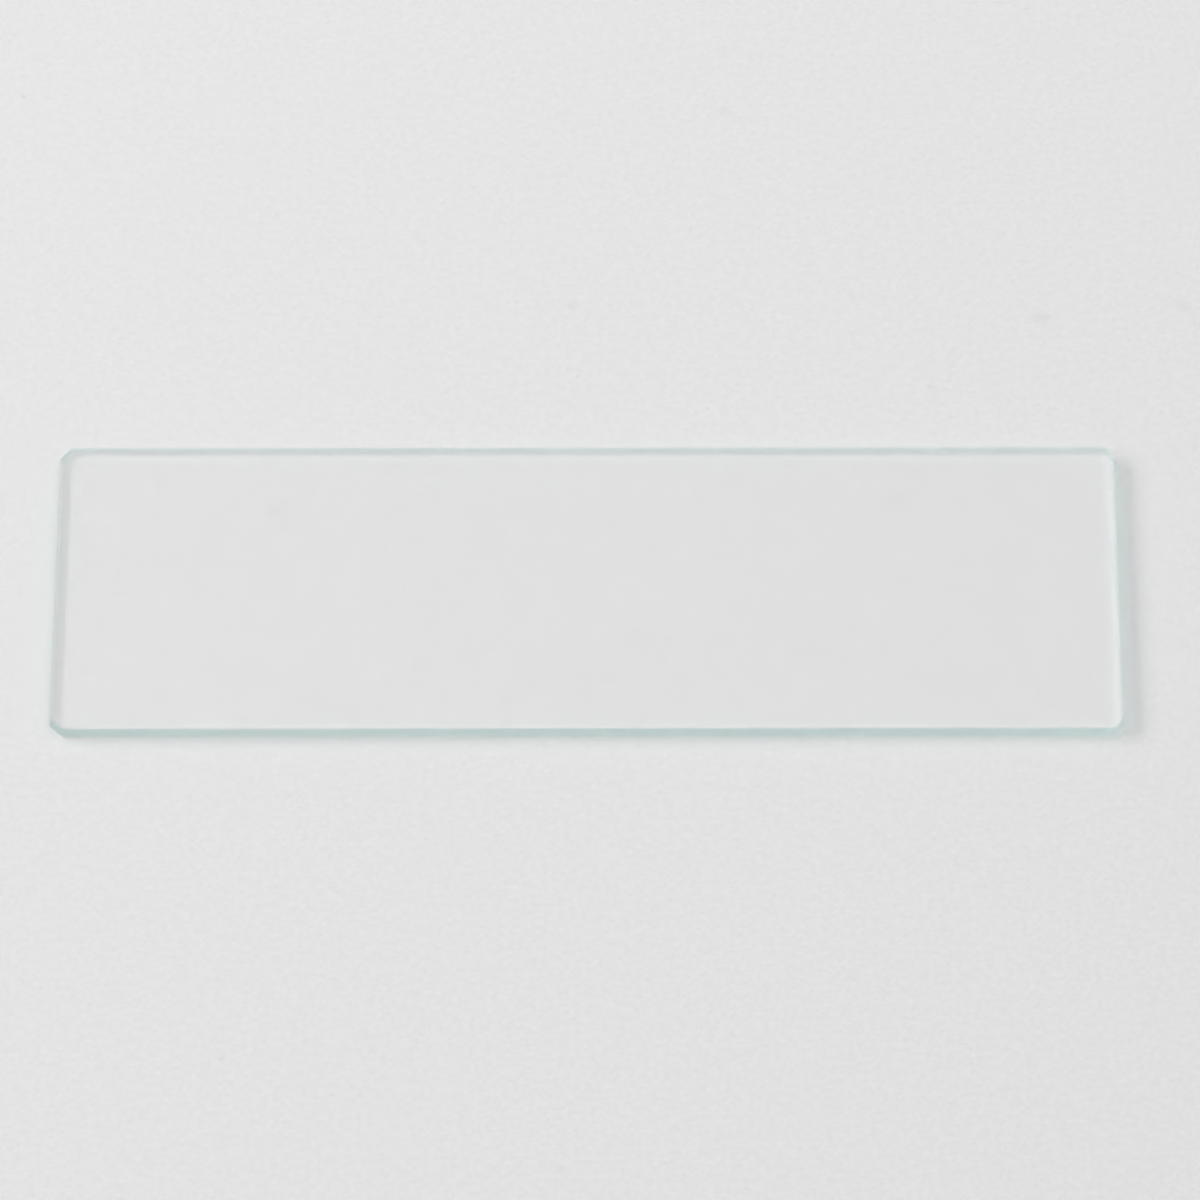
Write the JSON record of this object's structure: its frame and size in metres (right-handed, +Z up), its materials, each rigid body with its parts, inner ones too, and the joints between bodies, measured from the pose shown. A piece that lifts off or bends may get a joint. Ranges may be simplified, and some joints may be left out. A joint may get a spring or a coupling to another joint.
{
  "type": "microscope slide",
  "caption": "Plain clear glass pane with ground edges and clipped corners, which holds a specimen flat under a microscope.",
  "frame": {"origin": "centre of the underside, where the slide rests", "axes": "+X along the length, +Y across the width towards the back long edge, +Z up to the specimen face"},
  "size_m": [0.076, 0.026, 0.001],
  "materials": {
    "glass": "clear polished faces, fine-ground edges, faint green tint along the length"
  },
  "bodies": {
    "root": {"glass_slide": "glass"}
  },
  "joints": []
}
